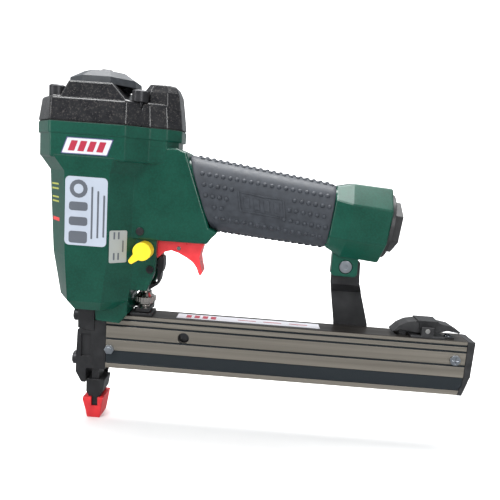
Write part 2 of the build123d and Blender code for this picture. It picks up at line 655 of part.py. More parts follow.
def nose_front_plate():
    """Front plate with the sunk window in each side."""
    outline = [(-12.0, 60.4), (-12.6, 44), (-12.6, 31.6), (-9.6, 26), (-8.6, 24.6), (-5.9, 24.6), (-5.9, 34.5),
               (-2.4, 34.5), (-2.4, 8.7), (-0.9, 8.7), (-0.9, 60.4)]
    plate = prism_y(outline, -8.2, 8.2)
    plate = plate - block(-3, 0, -10, -5.9, 0, 34.5) - block(-3, 0, 5.9, 10, 0, 34.5)
    for side in (-1, 1):
        plate = plate - block(-9.4, -3.0, min(side * 6.9, side * 9), max(side * 6.9, side * 9), 42.5, 58.0)
    return plate - rod_x(0, 38.4, 2.3, -14, 0)


def nose_rear_plate():
    """Rear plate with the fastener window, and the guide for the blade."""
    outline = [(0.9, 8.7), (2.4, 8.7), (2.4, 34.5), (6.9, 34.5), (6.9, 67.5), (0.9, 67.5)]
    plate = prism_y(outline, -8.2, 8.2)
    plate = plate - block(0, 3, -10, -5.9, 0, 34.5) - block(0, 3, 5.9, 10, 0, 34.5)
    window = block(0, 8, -5.3, 5.3, 37.5, 71.5)
    strips = block(-0.9, 0.9, -8.2, -5.0, 34.6, 67.5) + block(-0.9, 0.9, 5.0, 8.2, 34.6, 67.5)
    strips = strips + block(-0.9, 0.9, -5.9, -5.0, 8.7, 34.6) + block(-0.9, 0.9, 5.0, 5.9, 8.7, 34.6)
    return plate - window + strips


def nose_screws():
    """Upper socket screw and lower domed screw, from the front."""
    upper = Rot(0, -90, 0) * socket_screw(4.4, 5.0, 2.3, 9, 2.2)
    lower = Rot(0, -90, 0) * (socket_screw(4.4, 4.2, 2.3, 9, 1.6))
    return [Pos(-11.6, 0, 68.6) * upper, Pos(-12.6, 0, 38.4) * lower]


# ---- contact safety ---------------------------------------------------------------------------------------
def safety_foot():
    """Steel sleeve round the end of the nose."""
    outline = [(-3.9, 1.2), (3.7, 1.2), (3.7, 15), (5.4, 18), (6.6, 26.5), (-5.6, 26.5), (-5.6, 18), (-3.9, 15)]
    sleeve = prism_y(outline, -SLEEVE_HALF, SLEEVE_HALF)
    sleeve = sleeve - block(-2.7, 2.7, -6.1, 6.1, 0, 30)
    return sleeve + block(-4.0, 2.6, SLEEVE_HALF - 0.2, 10.9, 21, 26.5)


def no_mar_tip():
    """Soft boot over the safety foot."""
    shell = stacked([
        (0.0, mirrored([(-4.4, -7.5), (4.1, -7.5)])),
        (5.0, mirrored([(-5.4, -7.9), (4.9, -7.9)])),
        (12.6, mirrored([(-7.4, -8.6), (5.9, -8.6)])),
        (14.6, mirrored([(-7.0, -8.6), (6.3, -8.6)])),
    ])
    front = block(-5.4, -3.9, -SLEEVE_HALF, SLEEVE_HALF, 14.6, 15) + shell
    channel = block(-2.2, 2.2, -6.1, 6.1, -1, 3)
    window = block(-1.6, 2.6, -10, 0, 8.4, 16)
    return front - channel - window - block(-3.9, 3.7, -SLEEVE_HALF, SLEEVE_HALF, 1.2, 16)


def safety_link():
    """Flat strip from the foot, up the far side of the nose and back over the magazine."""
    outline = [(-4.0, 20), (2.6, 20), (4.0, 28), (4.0, 74.2), (34, 74.2), (34, 79.4), (-1, 79.4), (-4.0, 76)]
    strip = prism_y(outline, 9.4, 11.9)
    shelf = block(25.4, 34, -6.5, 11.9, 75.0, 77.4)
    return strip + shelf - block(-5, 3, 8.9, 10.9, 20.9, 26.6) - rod_z(SAFETY_X, 0, 2.0, 70, 80)


def safety_rod():
    """Threaded steel rod that carries the depth wheel."""
    return rod_z(SAFETY_X, 0, 2.0, 75.0, 95.0) + rod_z(SAFETY_X, 0, 3.4, 77.4, 78.9)


def depth_wheel():
    """Knurled wheel on the rod."""
    wheel = turned([(2.0 + RUN_GAP, 80.0), (5.6, 80.0), (5.6, 81.2), (7.2, 81.6), (7.2, 84.6), (5.6, 85.0), (3.8, 87.4),
                    (2.0 + RUN_GAP, 87.4)], SAFETY_X)
    for k in range(24):
        angle = 2 * math.pi * k / 24
        wheel = wheel - rod_z(SAFETY_X + 7.5 * math.cos(angle), 7.5 * math.sin(angle), 0.55, 80.6, 85.6)
    return wheel


def safety_arm():
    """Upper arm that lifts the trigger's paddle."""
    outline = [(26.4, 90.0), (34.0, 90.0), (38.6, 93.2), (40.0, 96.6), (40.3, 100.5), (41.6, 103.0), (42.0, 106.0),
               (41.9, 110.0), (41.6, 111.4), (41.0, 112.2), (39.6, 112.2), (38.6, 111.2), (38.1, 109.8), (38.1, 95.4),
               (36.2, 93.6), (26.4, 93.6)]
    return prism_y(outline, -4.4, 4.4) - rod_z(SAFETY_X, 0, 2.0, 89, 96)


def safety_spring():
    """Spring between the far side strip and the casting."""
    return coil_spring(*SPRING_PLACE, 80.0, 97.4, 1.7, 0.5, 7)


def lower_guide():
    """Moulded guide block on top of the magazine."""
    return block(21.8, 36.0, -7.6, 7.6, MAG_TOP, 74.4)


# ---- write the pieces ---------------------------------------------------------------------------------------
node("housing", housing())
node("cap", cap())
node("cap_gasket", cap_gasket())
node("cap_screws", *cap_screws())
node("exhaust_deflector", deflector())
node("deflector_screw", deflector_screw())
node("head_valve", head_valve())
node("head_valve_seals", *head_valve_seals())
node("head_valve_spring", head_valve_spring())
node("cylinder", cylinder())
node("cylinder_seals", *cylinder_seals())
node("piston", piston())
node("piston_ring", piston_ring())
node("driver_blade", driver_blade())
node("blade_pin", blade_pin())
node("bumper", bumper())
node("trigger", trigger())
node("trigger_pin", trigger_pin())
node("trigger_paddle", trigger_paddle())
node("mode_selector", mode_selector())
node("valve_body", valve_body())
node("valve_stem", valve_stem())
node("valve_seal", valve_seal())
node("valve_spring", valve_spring())
node("housing_pins", *housing_pins())
node("grip_sleeve", grip_sleeve())
node("handle_plug", handle_plug())
node("inlet_seal", inlet_seal())
node("rear_bracket", rear_bracket())
node("bracket_screw", *bracket_screw())
node("bracket_magazine_screws", *bracket_magazine_screws())
node("magazine", magazine())
node("front_screw", *front_screw())
node("cross_screw", cross_screw())
node("rail", rail())
node("drawer_end_cap", drawer_end_cap())
node("pusher", pusher())
node("pusher_spring", pusher_spring())
node("latch", latch())
node("latch_clip", latch_clip())
node("latch_base", latch_base())
node("latch_pin", latch_pin())
node("latch_screw", latch_screw())
node("nose_block", nose_block())
node("nose_front_plate", nose_front_plate())
node("nose_rear_plate", nose_rear_plate())
node("nose_screws", *nose_screws())
node("safety_foot", safety_foot())
node("no_mar_tip", no_mar_tip())
node("safety_link", safety_link())
node("safety_rod", safety_rod())
node("depth_wheel", depth_wheel())
node("safety_arm", safety_arm())
node("safety_spring", safety_spring())
node("lower_guide", lower_guide())

os.makedirs("parts", exist_ok=True)
for name, shape in NODES.items():
    export_step(shape, f"parts/{name}.step")
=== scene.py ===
"""Looks of the pneumatic flooring nailer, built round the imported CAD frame. Metres."""
import json
import math

import bmesh
import bpy
from mathutils import Matrix, Vector
from mathutils.bvhtree import BVHTree


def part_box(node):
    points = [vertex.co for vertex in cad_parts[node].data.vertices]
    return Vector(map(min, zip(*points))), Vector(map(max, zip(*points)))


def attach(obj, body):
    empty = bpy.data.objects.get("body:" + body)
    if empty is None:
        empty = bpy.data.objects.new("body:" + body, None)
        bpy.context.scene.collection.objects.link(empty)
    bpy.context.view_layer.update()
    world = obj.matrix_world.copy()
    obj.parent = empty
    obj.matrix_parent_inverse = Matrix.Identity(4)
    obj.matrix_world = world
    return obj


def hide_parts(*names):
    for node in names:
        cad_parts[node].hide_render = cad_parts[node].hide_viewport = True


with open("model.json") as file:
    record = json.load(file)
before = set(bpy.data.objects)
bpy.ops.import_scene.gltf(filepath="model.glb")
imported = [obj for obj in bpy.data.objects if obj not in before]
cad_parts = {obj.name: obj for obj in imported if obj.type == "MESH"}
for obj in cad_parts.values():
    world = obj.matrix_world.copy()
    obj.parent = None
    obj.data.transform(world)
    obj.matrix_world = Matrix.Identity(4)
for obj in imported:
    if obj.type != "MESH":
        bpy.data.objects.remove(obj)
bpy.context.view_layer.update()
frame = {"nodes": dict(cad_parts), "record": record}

MM = 0.001
MAGAZINE_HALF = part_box("magazine")[1][1]
MAGAZINE_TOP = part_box("magazine")[1][2]
MAGAZINE_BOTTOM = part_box("magazine")[0][2]
HANDLE_ORIGIN = Vector((0.102, 0.0, 0.1505))
HANDLE_TILT = math.radians(6.0)
ALONG = Vector((math.cos(HANDLE_TILT), 0.0, -math.sin(HANDLE_TILT)))
UPWARD = Vector((math.sin(HANDLE_TILT), 0.0, math.cos(HANDLE_TILT)))


# ---- shader groups ------------------------------------------------------------------------------
def new_group(name, inputs, outputs):
    """Empty shader group with its named sockets, and its two end nodes."""
    tree = bpy.data.node_groups.new(name, "ShaderNodeTree")
    for label, kind, value in inputs:
        socket = tree.interface.new_socket(label, in_out="INPUT", socket_type=kind)
        socket.default_value = value
    for label, kind in outputs:
        tree.interface.new_socket(label, in_out="OUTPUT", socket_type=kind)
    return tree, tree.nodes.new("NodeGroupInput"), tree.nodes.new("NodeGroupOutput")


def math_node(tree, operation, first, second=None, clamp=False):
    """Math node fed by sockets or plain numbers; gives its output socket."""
    made = tree.nodes.new("ShaderNodeMath")
    made.operation = operation
    made.use_clamp = clamp
    for slot, value in ((0, first), (1, second)):
        if value is None:
            continue
        if isinstance(value, (int, float)):
            made.inputs[slot].default_value = value
        else:
            tree.links.new(value, made.inputs[slot])
    return made.outputs[0]


def grain_group():
    """Fine uneven surface: a stretched noise for tone and a finer one for height."""
    tree, start, end = new_group(
        "surface_grain",
        [("Scale", "NodeSocketFloat", 800.0), ("Stretch", "NodeSocketVector", (1.0, 1.0, 1.0))],
        [("Tone", "NodeSocketFloat"), ("Height", "NodeSocketFloat")])
    tone_share = 0.12
    place = tree.nodes.new("ShaderNodeTexCoord")
    stretch = tree.nodes.new("ShaderNodeVectorMath")
    stretch.operation = "MULTIPLY"
    tree.links.new(place.outputs["Object"], stretch.inputs[0])
    tree.links.new(start.outputs["Stretch"], stretch.inputs[1])
    tone = tree.nodes.new("ShaderNodeTexNoise")
    tone.inputs["Detail"].default_value = 3.0
    tree.links.new(stretch.outputs[0], tone.inputs["Vector"])
    coarse = math_node(tree, "MULTIPLY", start.outputs["Scale"], tone_share)
    tree.links.new(coarse, tone.inputs["Scale"])
    fine = tree.nodes.new("ShaderNodeTexNoise")
    fine.inputs["Detail"].default_value = 2.0
    tree.links.new(stretch.outputs[0], fine.inputs["Vector"])
    tree.links.new(start.outputs["Scale"], fine.inputs["Scale"])
    tree.links.new(tone.outputs["Fac"], end.inputs["Tone"])
    tree.links.new(fine.outputs["Fac"], end.inputs["Height"])
    return tree


def edge_group():
    """Mask of rubbed edges: where a rounded normal leaves the flat one, broken up by patches."""
    tree, start, end = new_group(
        "edge_wear",
        [("Amount", "NodeSocketFloat", 1.0)],
        [("Mask", "NodeSocketFloat")])
    edge_width, patch_scale, patch_floor, contrast = 0.5 * MM, 260.0, 0.45, 30.0
    bevel = tree.nodes.new("ShaderNodeBevel")
    bevel.samples = 4
    bevel.inputs["Radius"].default_value = edge_width
    surface = tree.nodes.new("ShaderNodeNewGeometry")
    compare = tree.nodes.new("ShaderNodeVectorMath")
    compare.operation = "DOT_PRODUCT"
    tree.links.new(bevel.outputs[0], compare.inputs[0])
    tree.links.new(surface.outputs["Normal"], compare.inputs[1])
    bend = math_node(tree, "SUBTRACT", 1.0, compare.outputs["Value"])
    patch = tree.nodes.new("ShaderNodeTexNoise")
    patch.inputs["Scale"].default_value = patch_scale
    patch.inputs["Detail"].default_value = 4.0
    place = tree.nodes.new("ShaderNodeTexCoord")
    tree.links.new(place.outputs["Object"], patch.inputs["Vector"])
    broken = math_node(tree, "SUBTRACT", patch.outputs["Fac"], patch_floor, clamp=True)
    edge = math_node(tree, "MULTIPLY", bend, contrast, clamp=True)
    strong = math_node(tree, "MULTIPLY", edge, broken)
    mask = math_node(tree, "MULTIPLY", strong, start.outputs["Amount"], clamp=True)
    tree.links.new(mask, end.inputs["Mask"])
    return tree


GRAIN = grain_group()
EDGES = edge_group()


# ---- materials ------------------------------------------------------------------------------------
def mix_colour(tree, factor, first, second):
    """Colour mix of two colours or sockets by a factor socket."""
    made = tree.nodes.new("ShaderNodeMix")
    made.data_type = "RGBA"
    tree.links.new(factor, made.inputs["Factor"])
    for label, value in (("A", first), ("B", second)):
        socket = [s for s in made.inputs if s.name == label and s.type == "RGBA"][0]
        if isinstance(value, tuple):
            socket.default_value = (*value, 1.0)
        else:
            tree.links.new(value, socket)
    return [s for s in made.outputs if s.type == "RGBA"][0]


def ramp(tree, socket, low, high):
    """Map a value so that low becomes 0 and high becomes 1."""
    made = tree.nodes.new("ShaderNodeMapRange")
    made.inputs["From Min"].default_value = low
    made.inputs["From Max"].default_value = high
    tree.links.new(socket, made.inputs["Value"])
    return made.outputs["Result"]


COAT_ROUGHNESS = 0.10
TONE_LOW, TONE_HIGH = 0.3, 0.7
ROUGHNESS_SPREAD = 0.14


class Finish:
    """A Principled material with grain, edge wear and bump already wired; depth and soften in millimetres."""

    def __init__(self, name, dark, light, rough, metal=0.0, coat=0.0, grain=900.0, stretch=(1, 1, 1),
                 bump=0.15, wear=0.0, worn=(0.5, 0.5, 0.5), depth=0.05, soften=0.35, gloss=0.5):
        self.material = bpy.data.materials.new(name)
        self.material.use_nodes = True
        self.tree = self.material.node_tree
        self.shader = self.tree.nodes["Principled BSDF"]
        self.shader.inputs["Metallic"].default_value = metal
        self.shader.inputs["Coat Weight"].default_value = coat
        self.shader.inputs["Specular IOR Level"].default_value = gloss
        self.shader.inputs["Coat Roughness"].default_value = COAT_ROUGHNESS
        self.grain = self.tree.nodes.new("ShaderNodeGroup")
        self.grain.node_tree = GRAIN
        self.grain.inputs["Scale"].default_value = grain
        self.grain.inputs["Stretch"].default_value = stretch
        tone = ramp(self.tree, self.grain.outputs["Tone"], TONE_LOW, TONE_HIGH)
        self.colour = mix_colour(self.tree, tone, dark, light)
        centred = math_node(self.tree, "SUBTRACT", tone, 0.5)
        spread = math_node(self.tree, "MULTIPLY", centred, ROUGHNESS_SPREAD)
        self.roughness = math_node(self.tree, "ADD", spread, rough, clamp=True)
        if wear > 0:
            rubbed = self.tree.nodes.new("ShaderNodeGroup")
            rubbed.node_tree = EDGES
            rubbed.inputs["Amount"].default_value = wear
            self.colour = mix_colour(self.tree, rubbed.outputs["Mask"], self.colour, worn)
        self.round = self.tree.nodes.new("ShaderNodeBevel")
        self.round.samples = 8
        self.round.inputs["Radius"].default_value = soften * MM
        self.bump = self.tree.nodes.new("ShaderNodeBump")
        self.bump.inputs["Strength"].default_value = bump
        self.bump.inputs["Distance"].default_value = depth * MM
        self.height = self.grain.outputs["Height"]
        self.tree.links.new(self.round.outputs[0], self.bump.inputs["Normal"])

    def done(self):
        """Wire the ends and give the material."""
        self.tree.links.new(self.colour, self.shader.inputs["Base Color"])
        self.tree.links.new(self.roughness, self.shader.inputs["Roughness"])
        self.tree.links.new(self.height, self.bump.inputs["Height"])
        self.tree.links.new(self.bump.outputs[0], self.shader.inputs["Normal"])
        return self.material


def hammered_green():
    """Deep green hammered enamel: shallow dimples with a slightly lighter floor."""
    paint = Finish("hammered_green", (0.0003, 0.036, 0.022), (0.0006, 0.054, 0.034), 0.34, coat=0.5,
                   gloss=0.2, grain=420.0, bump=0.16, depth=0.08, wear=0.15, worn=(0.01, 0.13, 0.085),
                   soften=0.8)
    cells = paint.tree.nodes.new("ShaderNodeTexVoronoi")
    cells.feature = "SMOOTH_F1"
    cells.inputs["Scale"].default_value = 900.0
    place = paint.tree.nodes.new("ShaderNodeTexCoord")
    paint.tree.links.new(place.outputs["Object"], cells.inputs["Vector"])
    dimple = ramp(paint.tree, cells.outputs["Distance"], 0.1, 0.6)
    floor = math_node(paint.tree, "MULTIPLY", math_node(paint.tree, "SUBTRACT", 1.0, dimple), 0.3)
    paint.colour = mix_colour(paint.tree, floor, paint.colour, (0.001, 0.082, 0.054))
    paint.height = math_node(paint.tree, "ADD", dimple, math_node(paint.tree, "MULTIPLY", paint.height, 0.5))
    return paint.done()


def sparkle_black():
    """Black enamel with fine bright flecks."""
    paint = Finish("sparkle_black", (0.006, 0.006, 0.008), (0.011, 0.011, 0.013), 0.30, coat=0.35,
                   gloss=0.3, grain=1500.0, bump=0.04, depth=0.03, soften=0.5)
    fleck = paint.tree.nodes.new("ShaderNodeTexVoronoi")
    fleck.inputs["Scale"].default_value = 1900.0
    place = paint.tree.nodes.new("ShaderNodeTexCoord")
    paint.tree.links.new(place.outputs["Object"], fleck.inputs["Vector"])
    split = paint.tree.nodes.new("ShaderNodeSeparateColor")
    paint.tree.links.new(fleck.outputs["Color"], split.inputs[0])
    bright = ramp(paint.tree, split.outputs[0], 0.80, 1.0)
    paint.colour = mix_colour(paint.tree, bright, paint.colour, (0.060, 0.055, 0.052))
    return paint.done()


def anodised_magazine():
    """Warm grey anodised extrusion with drawing lines; its recessed band is dark, its side grooves carry
    painted shade, and its top is dark.
    """
    metal = Finish("anodised_magazine", (0.190, 0.172, 0.145), (0.270, 0.246, 0.210), 0.38, metal=0.6,
                   grain=2600.0, stretch=(0.012, 1.0, 1.0), bump=0.16, depth=0.03, soften=0.25)
    skin_depth, groove_depth, corner, lid_depth = 0.10 * MM, 1.2 * MM, 1.0 * MM, 0.25 * MM
    place = metal.tree.nodes.new("ShaderNodeTexCoord")
    split = metal.tree.nodes.new("ShaderNodeSeparateXYZ")
    metal.tree.links.new(place.outputs["Object"], split.inputs[0])
    out = math_node(metal.tree, "ABSOLUTE", split.outputs["Y"])
    # One dark colour goes on every surface sunk below the outer skin. On the recessed band it is the band's
    # own dark finish; in the side grooves it is painted shade.
    sunk = math_node(metal.tree, "LESS_THAN", out, MAGAZINE_HALF - skin_depth)
    wall = math_node(metal.tree, "GREATER_THAN", out, MAGAZINE_HALF - groove_depth)
    below = math_node(metal.tree, "LESS_THAN", split.outputs["Z"], MAGAZINE_TOP - corner)
    above = math_node(metal.tree, "GREATER_THAN", split.outputs["Z"], MAGAZINE_BOTTOM + corner)
    side = math_node(metal.tree, "MULTIPLY", math_node(metal.tree, "MULTIPLY", sunk, wall),
                     math_node(metal.tree, "MULTIPLY", below, above))
    metal.colour = mix_colour(metal.tree, side, metal.colour, (0.030, 0.037, 0.043))
    lid = math_node(metal.tree, "GREATER_THAN", split.outputs["Z"], MAGAZINE_TOP - lid_depth)
    metal.colour = mix_colour(metal.tree, lid, metal.colour, (0.040, 0.035, 0.031))
    return metal.done()


MATERIALS = {
    "green_paint": hammered_green(),
    "black_paint": sparkle_black(),
    "gasket": Finish("gasket_fibre", (0.020, 0.020, 0.020), (0.045, 0.044, 0.042), 0.8, grain=1500.0).done(),
    "black_oxide": Finish("black_oxide", (0.020, 0.020, 0.022), (0.046, 0.046, 0.050), 0.38, metal=0.6,
                          wear=0.7, worn=(0.22, 0.22, 0.22)).done(),
    "slate_plastic": Finish("slate_plastic", (0.030, 0.034, 0.040), (0.044, 0.050, 0.058), 0.46, grain=2200.0,
                            bump=0.25).done(),
    "bare_steel": Finish("bare_steel", (0.38, 0.37, 0.36), (0.58, 0.57, 0.55), 0.28, metal=1.0,
                         stretch=(1, 1, 0.05)).done(),
    "nickel_steel": Finish("nickel_steel", (0.40, 0.36, 0.33), (0.66, 0.62, 0.58), 0.24, metal=1.0, wear=0.5,
                           worn=(0.8, 0.78, 0.75)).done(),
    "zinc_steel": Finish("zinc_steel", (0.28, 0.30, 0.33), (0.46, 0.49, 0.53), 0.30, metal=1.0).done(),
    "cast_aluminium": Finish("cast_aluminium", (0.42, 0.42, 0.43), (0.62, 0.62, 0.64), 0.42,
                             metal=1.0).done(),
    "black_rubber": Finish("black_rubber", (0.012, 0.012, 0.012), (0.028, 0.028, 0.030), 0.72,
                           bump=0.3).done(),
    "spring_steel": Finish("spring_steel", (0.30, 0.30, 0.31), (0.52, 0.52, 0.53), 0.3, metal=1.0).done(),
    "brass_parts": Finish("turned_brass", (0.50, 0.34, 0.12), (0.74, 0.55, 0.24), 0.27, metal=1.0).done(),
    "red_plastic": Finish("red_plastic", (0.66, 0.022, 0.030), (0.80, 0.034, 0.044), 0.34, coat=0.2,
                          grain=1400.0, bump=0.12, wear=0.5, worn=(0.86, 0.16, 0.16), soften=0.8).done(),
    "red_boot": Finish("red_boot", (0.50, 0.010, 0.016), (0.66, 0.018, 0.024), 0.48, grain=1200.0, bump=0.2,
                       wear=0.6, worn=(0.72, 0.10, 0.10), soften=0.8).done(),
    "yellow_plastic": Finish("yellow_plastic", (0.82, 0.56, 0.012), (0.94, 0.70, 0.022), 0.32, coat=0.2,
                             grain=1400.0, bump=0.12, wear=0.4, worn=(0.98, 0.82, 0.25), soften=0.8).done(),
    "grip_rubber": Finish("grip_rubber", (0.022, 0.026, 0.034), (0.036, 0.042, 0.053), 0.55, grain=2600.0,
                          bump=0.45, wear=0.5, worn=(0.10, 0.11, 0.125), soften=0.5).done(),
    "black_plastic": Finish("black_plastic", (0.014, 0.014, 0.015), (0.027, 0.027, 0.029), 0.44, grain=1800.0,
                            bump=0.25, wear=0.4, worn=(0.09, 0.09, 0.09), soften=0.6).done(),
    "black_steel": Finish("black_steel", (0.012, 0.012, 0.013), (0.024, 0.024, 0.026), 0.36, metal=0.2,
                          wear=0.5, worn=(0.14, 0.14, 0.14), soften=0.4).done(),
    "anodised_magazine": anodised_magazine(),
    "rail_steel": Finish("rail_steel", (0.07, 0.07, 0.075), (0.13, 0.13, 0.135), 0.36, metal=0.9,
                         stretch=(0.03, 1, 1)).done(),
}


def dress_frame():
    """Give every CAD node the finish of its slot."""
    for part in frame["record"]["subparts"]:
        thing = frame["nodes"][part["node"]]
        finish = MATERIALS[part["material_slot"]]
        for slot in thing.material_slots:
            slot.material = finish
        if not thing.material_slots:
            thing.data.materials.append(finish)


dress_frame()


# ---- mesh helpers ---------------------------------------------------------------------------------
def piece(name, mesh, body, slot, smooth=True):
    """Put a mesh in the scene as a piece of a body."""
    thing = bpy.data.objects.new(name, mesh)
    bpy.context.scene.collection.objects.link(thing)
    for polygon in mesh.polygons:
        polygon.use_smooth = smooth
    if not mesh.materials:
        mesh.materials.append(MATERIALS[slot])
    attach(thing, body)
    return thing


def mesh_from(name, points, faces):
    """Mesh with outward faces from points and face loops."""
    mesh = bpy.data.meshes.new(name)
    mesh.from_pydata([tuple(p) for p in points], [], faces)
    shape = bmesh.new()
    shape.from_mesh(mesh)
    bmesh.ops.remove_doubles(shape, verts=shape.verts, dist=1e-7)
    bmesh.ops.recalc_face_normals(shape, faces=shape.faces)
    shape.to_mesh(mesh)
    shape.free()
    return mesh


# ---- rubber grip ----------------------------------------------------------------------------------
GRIP_FRONT_TOP = Vector((54.9, 0, 178.8)) * MM
GRIP_FRONT_LOW = Vector((71.1, 0, 134.3)) * MM
GRIP_REAR = 43.9 * MM
GRIP_POWER = 2.75
LIP_LENGTH = 0.8 * MM
LIP_PROFILE = [(0.0, 1.9), (0.0, 0.9), (0.25, 0.35), (0.8, 0.0)]
BUMP_RADIUS = 1.45 * MM
BUMP_SEAT = 0.15 * MM
SIDES = (("near", -1), ("far", 1))


def handle_point(along, across, up):
    """Point in the handle's own frame."""
    return HANDLE_ORIGIN + ALONG * along + Vector((0, across, 0)) + UPWARD * up


def grip_half_sizes(along):
    """Half width and half height of the sleeve at a station."""
    share = (along + 46 * MM) / (90 * MM)
    belly = math.sin(math.pi * min(max(share, 0.0), 1.0))
    return (17.4 + 0.6 * belly) * MM, (22.4 - 2.4 * share) * MM


def grip_section(along, turn, shrink=0.0):
    """Sideways and upward place of the sleeve's outline at a station and an angle."""
    half_w, half_h = grip_half_sizes(along)
    power = 2.0 / GRIP_POWER
    cos, sin = math.cos(turn), math.sin(turn)
    across = math.copysign(abs(cos) ** power, cos) * (half_w - shrink)
    up = math.copysign(abs(sin) ** power, sin) * (half_h - shrink)
    return across, up


def grip_start(up):
    """Station of the sleeve's sloped front edge at a height in the handle's frame."""
    top = GRIP_FRONT_TOP - HANDLE_ORIGIN
    low = GRIP_FRONT_LOW - HANDLE_ORIGIN
    share = (up - low.dot(UPWARD)) / (top.dot(UPWARD) - low.dot(UPWARD))
    return low.dot(ALONG) + share * (top.dot(ALONG) - low.dot(ALONG))


def grip_sleeve():
    """Moulded sleeve with a rolled lip at each end."""
    around, stations = 96, 44
    rows = [("front", step) for step in LIP_PROFILE]
    rows += [("run", k / stations) for k in range(1, stations)]
    rows += [("rear", step) for step in reversed(LIP_PROFILE)]
    points, faces = [], []
    for kind, value in rows:
        for j in range(around):
            turn = 2 * math.pi * j / around
            begin = grip_start(grip_section(0.0, turn)[1])
            if kind == "front":
                along, shrink = begin + value[0] * MM, value[1] * MM
            elif kind == "rear":
                along, shrink = GRIP_REAR - value[0] * MM, value[1] * MM
            else:
                along = begin + LIP_LENGTH + value * (GRIP_REAR - begin - 2 * LIP_LENGTH)
                shrink = 0.0
            across, up = grip_section(along, turn, shrink)
            points.append(handle_point(along, across, up))
    for i in range(len(rows) - 1):
        for j in range(around):
            a, b = i * around + j, i * around + (j + 1) % around
            faces.append((a, b, b + around, a + around))
    first, last = 0, (len(rows) - 1) * around
    faces.append(tuple(range(first, first + around)))
    faces.append(tuple(reversed(range(last, last + around))))
    return piece("grip_skin", mesh_from("grip_skin", points, faces), "tool", "grip_rubber")


def grip_turn_at(along, up):
    """Angle of the outline, on the +Y side, where its height is up."""
    half_h = grip_half_sizes(along)[1]
    ratio = max(-0.999, min(0.999, up / half_h))
    return math.asin(math.copysign(abs(ratio) ** (GRIP_POWER / 2.0), ratio))


def grip_normal(along, turn):
    """Outward direction of the sleeve at a station and an angle."""
    step = 0.01
    before, after = grip_section(along, turn - step), grip_section(along, turn + step)
    tangent = Vector((0, after[0] - before[0], 0)) + UPWARD * (after[1] - before[1])
    return tangent.normalized().cross(ALONG).normalized() * -1.0


def bump_places():
    """Places and outward directions of the sleeve's bumps: staggered rows on the sides, top and bottom."""
    pitch, row_gap, top_lean, top_height = 4.3 * MM, 6.3 * MM, 0.32, 21 * MM
    front_gap, rear_gap = 4 * MM, 3 * MM
    frame_start, frame_end, frame_lean = -18 * MM, 17 * MM, 0.35
    places = []
    for row in range(-2, 3):
        up = row * row_gap
        shift = 0.5 * pitch if row % 2 else 0.0
        for k in range(-12, 12):
            along = k * pitch + shift
            if along < grip_start(up) + front_gap or along > GRIP_REAR - rear_gap:
                continue
            if abs(row) <= 1 and frame_start < along - frame_lean * up < frame_end:
                continue
            turn = grip_turn_at(along, up)
            for angle in (turn, math.pi - turn):
                places.append((along, angle))
    for k in range(-12, 12):
        for side in (-1, 1):
            for lean in (-top_lean, 0.0, top_lean):
                along = k * pitch + (0.5 * pitch if lean else 0.0)
                angle = side * math.pi / 2 + lean
                if grip_start(side * top_height) + front_gap < along < GRIP_REAR - rear_gap:
                    places.append((along, angle))
    return places


def bump_tree(material):
    """Geometry nodes: a low dome on each point, turned to the point's stored direction."""
    tree = bpy.data.node_groups.new("grip_bumps", "GeometryNodeTree")
    tree.interface.new_socket("Geometry", in_out="INPUT", socket_type="NodeSocketGeometry")
    radius = tree.interface.new_socket("Radius", in_out="INPUT", socket_type="NodeSocketFloat")
    tree.interface.new_socket("Geometry", in_out="OUTPUT", socket_type="NodeSocketGeometry")
    start, end = tree.nodes.new("NodeGroupInput"), tree.nodes.new("NodeGroupOutput")
    dome = tree.nodes.new("GeometryNodeMeshUVSphere")
    dome.inputs["Segments"].default_value = 12
    dome.inputs["Rings"].default_value = 8
    flat = tree.nodes.new("GeometryNodeTransform")
    flat.inputs["Scale"].default_value = (1.0, 1.0, 0.80)
    facing = tree.nodes.new("GeometryNodeInputNamedAttribute")
    facing.data_type = "FLOAT_VECTOR"
    facing.inputs["Name"].default_value = "facing"
    turn = tree.nodes.new("FunctionNodeAlignRotationToVector")
    turn.axis = "Z"
    place = tree.nodes.new("GeometryNodeInstanceOnPoints")
    solid = tree.nodes.new("GeometryNodeRealizeInstances")
    coat = tree.nodes.new("GeometryNodeSetMaterial")
    coat.inputs["Material"].default_value = material
    link = tree.links.new
    link(start.outputs["Radius"], dome.inputs["Radius"])
    link(dome.outputs["Mesh"], flat.inputs["Geometry"])
    link(start.outputs["Geometry"], place.inputs["Points"])
    link(flat.outputs["Geometry"], place.inputs["Instance"])
    link(facing.outputs["Attribute"], turn.inputs["Vector"])
    link(turn.outputs["Rotation"], place.inputs["Rotation"])
    link(place.outputs["Instances"], solid.inputs["Geometry"])
    link(solid.outputs["Geometry"], coat.inputs["Geometry"])
    link(coat.outputs["Geometry"], end.inputs["Geometry"])
    return tree, radius.identifier


def baked(name, seed_mesh, tree, values):
    """Plain mesh from a seed mesh run through a geometry node tree."""
    holder = bpy.data.objects.new(name + "_seed", seed_mesh)
    bpy.context.scene.collection.objects.link(holder)
    modifier = holder.modifiers.new("make", "NODES")
    modifier.node_group = tree
    for identifier, value in values.items():
        modifier[identifier] = value
    graph = bpy.context.evaluated_depsgraph_get()
    mesh = bpy.data.meshes.new_from_object(holder.evaluated_get(graph))
    mesh.name = name
    holder.modifiers.clear()
    bpy.data.objects.remove(holder)
    return mesh


def grip_bumps():
    """All the bumps of the sleeve as one piece."""
    seed = bpy.data.meshes.new("bump_points")
    points, facings = [], []
    for along, angle in bump_places():
        across, up = grip_section(along, angle, BUMP_SEAT)
        points.append(handle_point(along, across, up))
        facings.append(grip_normal(along, angle))
    seed.from_pydata([tuple(p) for p in points], [], [])
    store = seed.attributes.new("facing", "FLOAT_VECTOR", "POINT")
    for k, facing in enumerate(facings):
        store.data[k].vector = facing
    tree, radius = bump_tree(MATERIALS["grip_rubber"])
    mesh = baked("grip_bumps", seed, tree, {radius: BUMP_RADIUS})
    return piece("grip_bumps", mesh, "tool", "grip_rubber")


